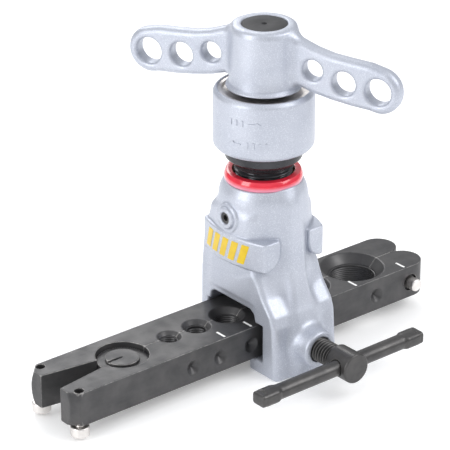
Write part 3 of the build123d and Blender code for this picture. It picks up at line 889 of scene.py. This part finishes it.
def handle_shape(x, y, z):
    """Hub with two arms along X; it is turned to its angle after meshing."""
    h = z - TOP
    wide = np.abs(x)
    arm = polygon(wide, h, arm_outline())
    r = 2.6
    across = np.abs(y) - ARM_THICK / 2 + r
    inward = arm + r
    blade = np.minimum(np.maximum(inward, across), 0)
    blade = blade + np.hypot(np.maximum(inward, 0), np.maximum(across, 0)) - r
    for hole_x, hole_h, radius in ARM_HOLES:
        hole = np.hypot(wide - hole_x, h - hole_h) - radius
        blade = cut(blade, hole + 0.35, 1.7)
    around = np.hypot(x, y)
    hub = around - hub_radius(h)
    hub = common(hub, h - (handle_high[2] - TOP), 1.2)
    hub = common(hub, HUB_LOW - h, 0.5)
    body = join(hub, blade, 3.5)
    middle = (handle_low[2] + handle_high[2]) / 2
    body = common(body, np.abs(z - middle) - (handle_high[2] - handle_low[2]) / 2, 0.5)
    return cut(body, around - SHAFT - LAP, 0.5)


def make_handle():
    """Hub and both arms, turned to the handle's angle."""
    reach = ARM_HOLES[-1][0] + ARM_TIP
    low = [-reach, -16.0, handle_low[2]]
    high = [reach, 16.0, handle_high[2]]
    field_piece("handle_casting", handle_shape, low, high, 0.5, SILVER, "handle", ["handle"],
                ARM_ANGLE)


def make_drive_shaft():
    """Black shaft with its flange and a centre mark on top."""
    low, high = shaft_low[2], shaft_high[2]
    flange_low, flange_high = TOP + 82.1, TOP + 86.9
    flange = shaft_high[0]
    outline = [(0.01, low), (STEM, low), (STEM, flange_low), (flange, flange_low), (flange, flange_high),
               (SHAFT, flange_high), (SHAFT, high), (1.1, high), (0.6, high - 1.4), (0.01, high - 1.5)]
    lathe("drive_shaft_black", outline, SHAFT_BLACK, "handle", ["drive_shaft"], 0.35, 96)


# ---------------------------------------------------------------- clamp screw and tommy bar

def clamp_shape(x, y, z):
    """Threaded stem with a round cross-drilled head."""
    around = np.hypot(x, z - CLAMP_Z)
    angle = np.arctan2(z - CLAMP_Z, x)
    depth, pitch = 0.95, 1.5
    stem = (around - helix_radius(angle, y, THREAD, depth, pitch)) * 0.7
    stem = common(stem, y - clamp_high[1], 0.5)
    stem = common(stem, (around - THREAD + y - clamp_high[1] + 0.9) / CONE_SLOPE, 0.2)
    middle = (CLAMP_HEAD_BACK + clamp_low[1]) / 2
    head = common(around - CLAMP_HEAD, np.abs(y - middle) - (CLAMP_HEAD_BACK - clamp_low[1]) / 2, 0.8)
    body = join(common(stem, middle - y, 0.2), head, 0.6)
    body = cut(body, np.hypot(y - TOMMY_Y, z - CLAMP_Z) - TOMMY - 0.15, 0.4)
    return cut(body, common(around - 1.9, clamp_high[1] - 4.2 - y, 0.2), 0.3)


def tommy_shape(x, y, z):
    """Round bar with both ends pressed flat."""
    u, w = y - TOMMY_Y, z - CLAMP_Z
    centre = (tommy_low[0] + tommy_high[0]) / 2
    half = (tommy_high[0] - tommy_low[0]) / 2
    along = half - np.abs(x - centre)
    bar = common(np.hypot(u, w) - TOMMY, 3.0 - along, 0.4)
    end = plan_box(u, w, 3.65, 2.65, 1.5)
    end = common(end, -along, 0.9)
    end = common(end, along - 9.0, 1.6)
    return join(bar, end, 1.4)


def make_clamp():
    """Clamp screw and the cross bar in its head."""
    field_piece("clamp_screw_thread", clamp_shape, clamp_low, clamp_high, 0.32, DARK, "clamp",
                ["clamp_screw"])
    field_piece("tommy_bar_pressed", tommy_shape, tommy_low, tommy_high, 0.4, DARK, "tommy",
                ["tommy_bar"])


# ---------------------------------------------------------------- small screws

def screw_head(centre, axis, head_radius, head_low, head_high):
    """Screw head as a field: upright ones have a hexagon socket below, the level one is plain."""
    flats = head_radius * 0.5

    def shape(x, y, z):
        if axis == "z":
            u, v, w = x - centre[0], y - centre[1], z
        else:
            u, v, w = x - centre[0], z - centre[1], y
        around = np.hypot(u, v)
        level = np.abs(w - (head_low + head_high) / 2) - (head_high - head_low) / 2
        head = common(around - head_radius, level, 0.6)
        sides = np.abs(u)
        for turn in (60, 120):
            c, s = math.cos(math.radians(turn)), math.sin(math.radians(turn))
            sides = np.maximum(sides, np.abs(u * c + v * s))
        if axis == "y":
            return head
        socket = common(sides - flats, w - head_low - (head_high - head_low) * 0.6, 0.2)
        return cut(head, socket, 0.25)
    return shape


def make_screws():
    """The two stop screws under the fork and the one in the front face."""
    for node, body in (("rear_stop_screw", "bar"), ("front_stop_screw", "jaw")):
        low, high = corners(node)
        centre = ((low[0] + high[0]) / 2, (low[1] + high[1]) / 2)
        radius = (high[0] - low[0]) / 2
        head_high = bar_low[2] - HEAD_GAP
        shape = screw_head(centre, "z", radius, low[2], head_high)

        def whole(x, y, z, shape=shape, centre=centre, head_high=head_high):
            shank = common(np.hypot(x - centre[0], y - centre[1]) - 1.6, z - SCREW_END, 0.3)
            shank = common(shank, head_high - 0.5 - z, 0.2)
            return np.minimum(shape(x, y, z), shank)
        field_piece(node + "_bright", whole, low, high, 0.36, BRIGHT, body, [node])
    low, high = end_screw_low, end_screw_high
    centre = ((low[0] + high[0]) / 2, (low[2] + high[2]) / 2)
    radius = (high[0] - low[0]) / 2
    head_back = -BAR_HALF + END_POCKET
    shape = screw_head(centre, "y", radius, low[1], head_back)

    def whole(x, y, z):
        shank = common(np.hypot(x - centre[0], z - centre[1]) - 1.6, y - high[1], 0.3)
        shank = common(shank, head_back - 0.5 - y, 0.2)
        return np.minimum(shape(x, y, z), shank)
    field_piece("end_stop_screw_bright", whole, low, high, 0.32, BRIGHT, "jaw", ["end_stop_screw"])


# ---------------------------------------------------------------- CAD parts that show as they are

def dress_cad():
    """Gives the CAD nodes that aren't replaced their finish, by the record's slots."""
    slots = {row["node"]: row["material_slot"] for row in frame["record"]["subparts"]}
    for node, thing in frame["nodes"].items():
        finish = FINISHES[slots[node]]
        if not thing.material_slots:
            thing.data.materials.append(finish)
        for place in thing.material_slots:
            place.material = finish


# ---------------------------------------------------------------- stage

def add_area(name, place, aim, size, power):
    """Rectangular soft light aimed at a place."""
    light = bpy.data.lights.new(name, "AREA")
    light.shape = "RECTANGLE"
    light.size, light.size_y = size
    light.energy = power
    thing = bpy.data.objects.new(name, light)
    bpy.context.scene.collection.objects.link(thing)
    thing.location = Vector(place)
    thing.rotation_euler = (Vector(aim) - Vector(place)).to_track_quat("-Z", "Y").to_euler()


def make_stage():
    """Pale floor under the toes, soft light and the camera."""
    half = 6.0
    mesh = bpy.data.meshes.new("floor")
    level = FOOT * MM
    rim = [(-half, -half, level), (half, -half, level), (half, half, level), (-half, half, level)]
    mesh.from_pydata(rim, [], [(0, 1, 2, 3)])
    floor = bpy.data.objects.new("floor", mesh)
    bpy.context.scene.collection.objects.link(floor)
    material, tree, shader = new_material("pale_floor")
    tone = blend_colour(tree, noise(tree, 3, 2), (0.90, 0.90, 0.90), (0.93, 0.93, 0.93))
    tree.links.new(tone, shader.inputs["Base Color"])
    shader.inputs["Roughness"].default_value = 0.7
    shader.inputs["Specular IOR Level"].default_value = 0.2
    shader.inputs["Emission Color"].default_value = (1, 1, 1, 1)
    shader.inputs["Emission Strength"].default_value = 0.22
    mesh.materials.append(material)
    world = bpy.data.worlds.new("studio")
    world.use_nodes = True
    sky = world.node_tree
    background = sky.nodes["Background"]
    background.inputs["Color"].default_value = (0.97, 0.98, 1.0, 1)
    direction = sky.nodes.new("ShaderNodeTexCoord")
    split = sky.nodes.new("ShaderNodeSeparateXYZ")
    sky.links.new(direction.outputs["Generated"], split.inputs[0])
    sky.links.new(span(sky, split.outputs["Z"], 0.0, 0.75, 0.20, 0.90), background.inputs["Strength"])
    bpy.context.scene.world = world
    aim = (0, 0, 0.06)
    add_area("key", (0.60, -0.85, 0.85), aim, (0.7, 0.8), 8)
    add_area("side", (-1.05, 0.07, 0.45), aim, (0.45, 0.8), 6)
    add_area("back", (0.3, 0.9, 0.7), aim, (0.7, 0.5), 4)
    scene = bpy.context.scene
    scene.view_settings.view_transform = "Standard"
    camera = bpy.data.cameras.new("camera")
    camera.sensor_width = 36.0
    camera.lens = 214.3
    camera.clip_end = 20
    thing = bpy.data.objects.new("camera", camera)
    scene.collection.objects.link(thing)
    aim_point = Vector((-20.05, 0, TOP + 40.6)) * MM
    azimuth, elevation, distance = math.radians(-39.626), math.radians(25.549), 1070.96 * MM
    back = Vector((math.sin(azimuth) * math.cos(elevation), -math.cos(azimuth) * math.cos(elevation),
                   math.sin(elevation)))
    thing.location = aim_point + back * distance
    thing.rotation_mode = "QUATERNION"
    thing.rotation_quaternion = (-back).to_track_quat("-Z", "Y")
    scene.camera = thing


dress_cad()
make_yoke()
make_badge()
make_ring()
make_jaws()
make_serrations()
make_hinge_pin()
make_bar_marks()
make_feed_screw()
make_barrel()
make_barrel_marks()
make_handle()
make_drive_shaft()
make_clamp()
make_screws()
make_stage()
